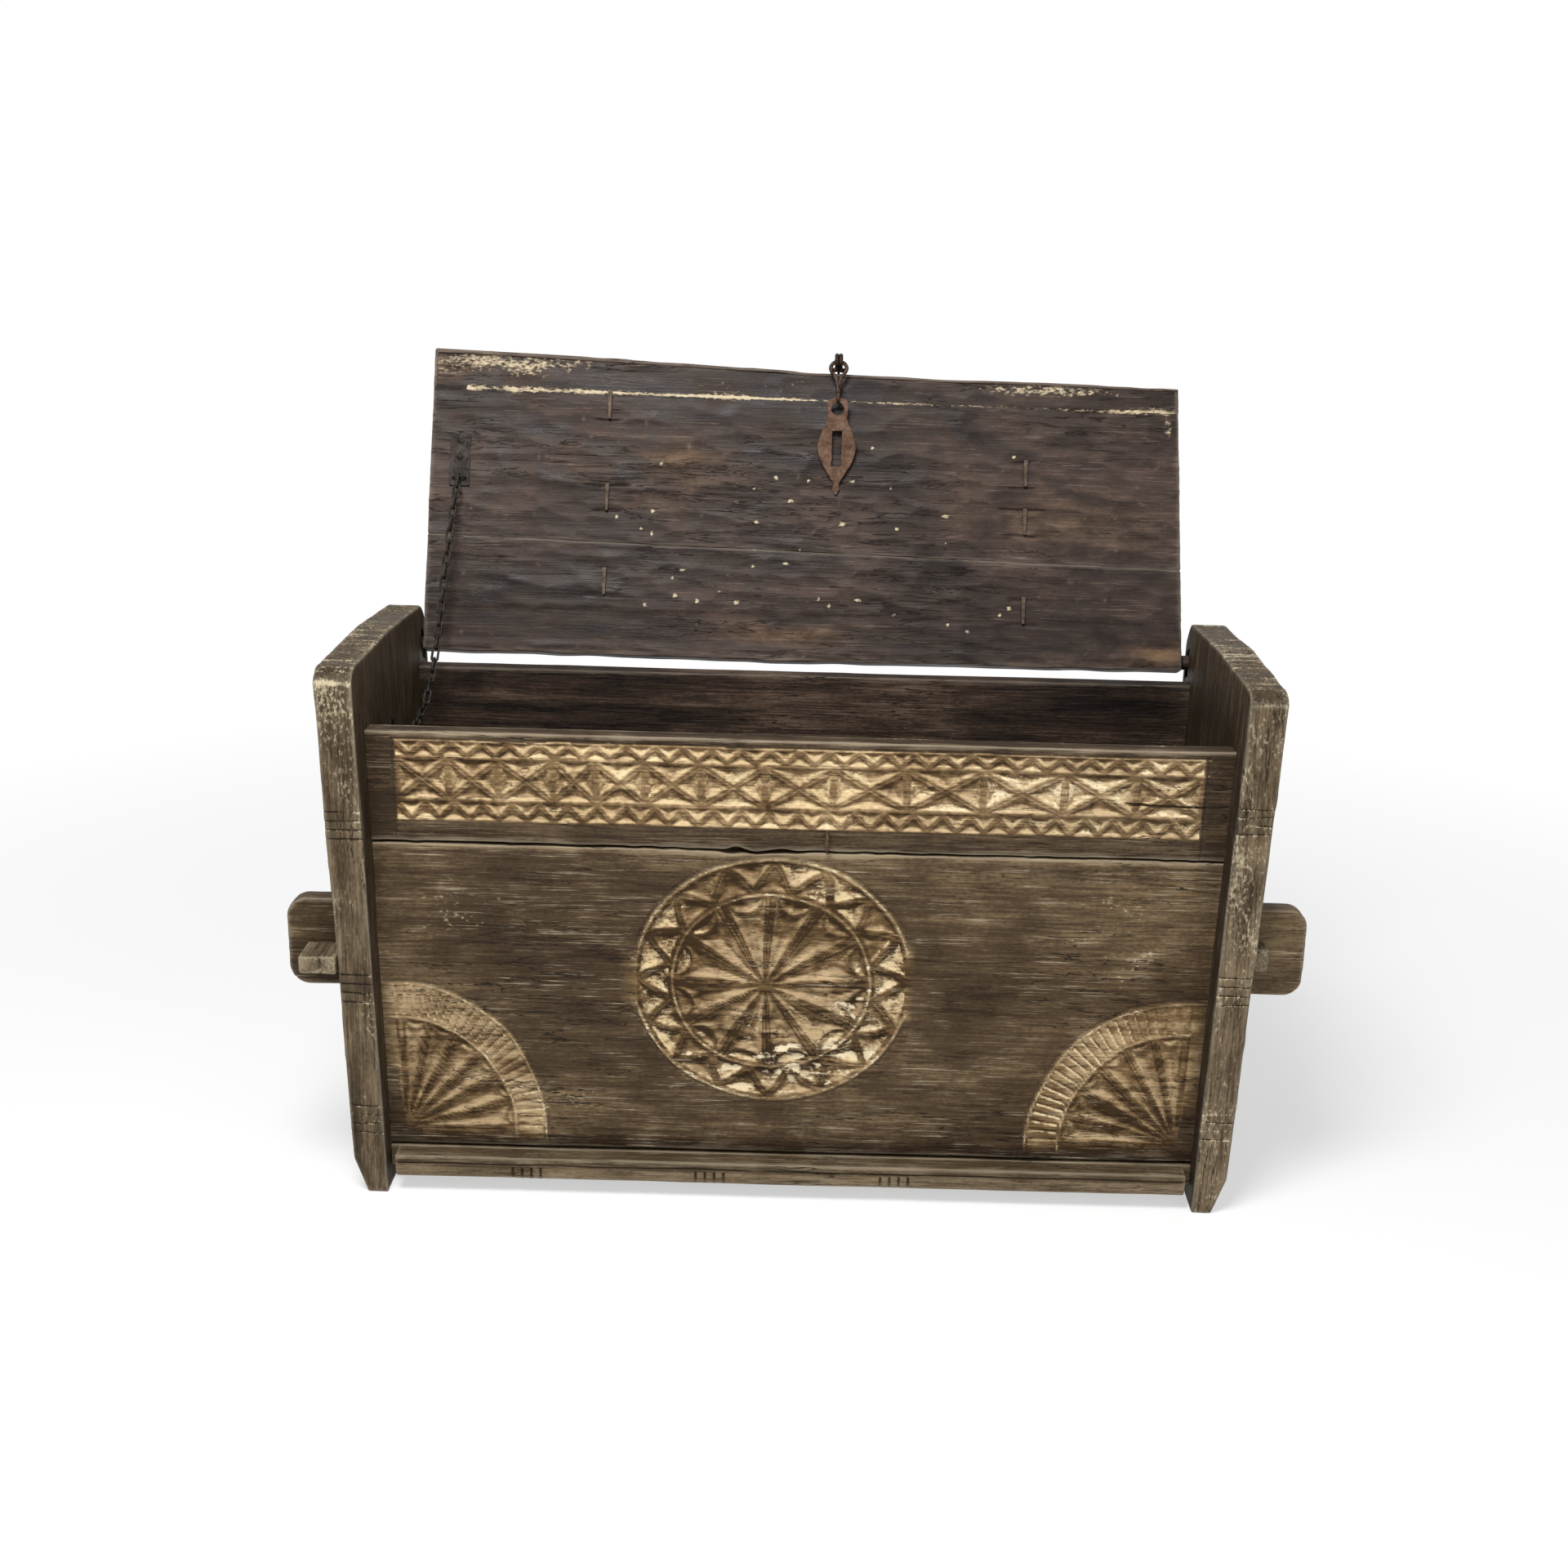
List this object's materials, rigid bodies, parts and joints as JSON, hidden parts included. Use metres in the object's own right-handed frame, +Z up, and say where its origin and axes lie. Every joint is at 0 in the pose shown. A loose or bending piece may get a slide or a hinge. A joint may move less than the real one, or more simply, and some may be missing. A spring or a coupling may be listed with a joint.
{
  "type": "coffer_chest",
  "caption": "Old chip-carved coffer chest with a pivoting plank lid, slotted iron hasp and stay chain, shown open",
  "frame": {"origin": "middle of the chest's footprint on the ground", "axes": "+X along the chest to the right as seen from the carved front, +Y from the front to the back, +Z up"},
  "size_m": [1.2006, 0.5718, 0.9639],
  "materials": {
    "weathered_frame_wood": "weathered, bare",
    "carved_front_wood": "worn, waxed by handling",
    "plain_inner_wood": "bare, hewn",
    "peg_wood": "bare, split",
    "dark_lid_wood": "smoke-darkened, hewn",
    "forged_iron": "forged, rusted",
    "chain_iron": "dark, dull"
  },
  "bodies": {
    "chest": {"left_end_board": "weathered_frame_wood", "right_end_board": "weathered_frame_wood", "front_frieze_board": "carved_front_wood", "front_panel_board": "carved_front_wood", "front_sill_rail": "weathered_frame_wood", "back_sill_rail": "plain_inner_wood", "back_lower_board": "plain_inner_wood", "back_upper_board": "plain_inner_wood", "floor_plank_1": "plain_inner_wood", "floor_plank_2": "plain_inner_wood", "floor_plank_3": "plain_inner_wood", "front_left_peg": "peg_wood", "front_right_peg": "peg_wood", "rear_left_peg": "peg_wood", "rear_right_peg": "peg_wood", "lock_staple": "forged_iron", "wall_chain_plate": "chain_iron", "wall_chain_screws": "chain_iron"},
    "lid": {"lid_front_plank": "dark_lid_wood", "lid_rear_plank": "dark_lid_wood", "lid_dowels": "peg_wood", "lid_batten_left": "dark_lid_wood", "lid_batten_right": "dark_lid_wood", "lid_clinched_nails": "forged_iron", "hasp_eye": "forged_iron", "lid_chain_plate": "chain_iron", "lid_chain_screws": "chain_iron"},
    "hasp_link": {"hasp_link": "forged_iron"},
    "hasp_leaf": {"hasp_leaf": "forged_iron"},
    "chain_1": {"stay_chain_1": "chain_iron"},
    "chain_2": {"stay_chain_2": "chain_iron"},
    "chain_3": {"stay_chain_3": "chain_iron"},
    "chain_4": {"stay_chain_4": "chain_iron"},
    "chain_5": {"stay_chain_5": "chain_iron"},
    "chain_6": {"stay_chain_6": "chain_iron"},
    "chain_7": {"stay_chain_7": "chain_iron"}
  },
  "joints": [
    {"name": "lid_hinge", "type": "hinge", "parent": "chest", "child": "lid", "pos_m": [-0.00027, 0.13573, 0.588], "axis": [1, 0, 0], "range_deg": [0, 111]},
    {"name": "hasp_link_swing", "type": "hinge", "parent": "lid", "child": "hasp_link", "pos_m": [0.03373, 0.24756, 0.95463], "axis": [1, 0, 0], "range_deg": [-96, 0]},
    {"name": "hasp_leaf_swing", "type": "hinge", "parent": "hasp_link", "child": "hasp_leaf", "pos_m": [0.03373, 0.22284, 0.91003], "axis": [1, 0, 0], "range_deg": [-80, 0]},
    {"name": "chain_swing_1", "type": "hinge", "parent": "lid", "child": "chain_1", "pos_m": [-0.45927, 0.18801, 0.80037], "axis": [1, 0, 0], "range_deg": [-71.1, 0]},
    {"name": "chain_swing_2", "type": "hinge", "parent": "chain_1", "child": "chain_2", "pos_m": [-0.46335, 0.14966, 0.75057], "axis": [1, 0, 0], "range_deg": [0, 79.1]},
    {"name": "chain_swing_3", "type": "hinge", "parent": "chain_2", "child": "chain_3", "pos_m": [-0.46743, 0.12132, 0.69447], "axis": [1, 0, 0], "range_deg": [0, 44.3]},
    {"name": "chain_swing_4", "type": "hinge", "parent": "chain_3", "child": "chain_4", "pos_m": [-0.47151, 0.09992, 0.63536], "axis": [1, 0, 0], "range_deg": [-83.2, 0]},
    {"name": "chain_swing_5", "type": "hinge", "parent": "chain_4", "child": "chain_5", "pos_m": [-0.47558, 0.06964, 0.58028], "axis": [1, 0, 0], "range_deg": [-88.7, 0]},
    {"name": "chain_swing_6", "type": "hinge", "parent": "chain_5", "child": "chain_6", "pos_m": [-0.47966, 0.02566, 0.53537], "axis": [1, 0, 0], "range_deg": [-22.1, 0]},
    {"name": "chain_swing_7", "type": "hinge", "parent": "chain_6", "child": "chain_7", "pos_m": [-0.48374, -0.03502, 0.519], "axis": [1, 0, 0], "range_deg": [0, 5.1]}
  ],
  "couplings": [
    {"joint": "hasp_link_swing", "follows": "lid_hinge", "ratio": -0.8606},
    {"joint": "chain_swing_1", "follows": "lid_hinge", "ratio": -0.636},
    {"joint": "chain_swing_2", "follows": "lid_hinge", "ratio": 0.708},
    {"joint": "chain_swing_3", "follows": "lid_hinge", "ratio": 0.395},
    {"joint": "chain_swing_4", "follows": "lid_hinge", "ratio": -0.745},
    {"joint": "chain_swing_5", "follows": "lid_hinge", "ratio": -0.795},
    {"joint": "chain_swing_6", "follows": "lid_hinge", "ratio": -0.195},
    {"joint": "chain_swing_7", "follows": "lid_hinge", "ratio": 0.041}
  ]
}
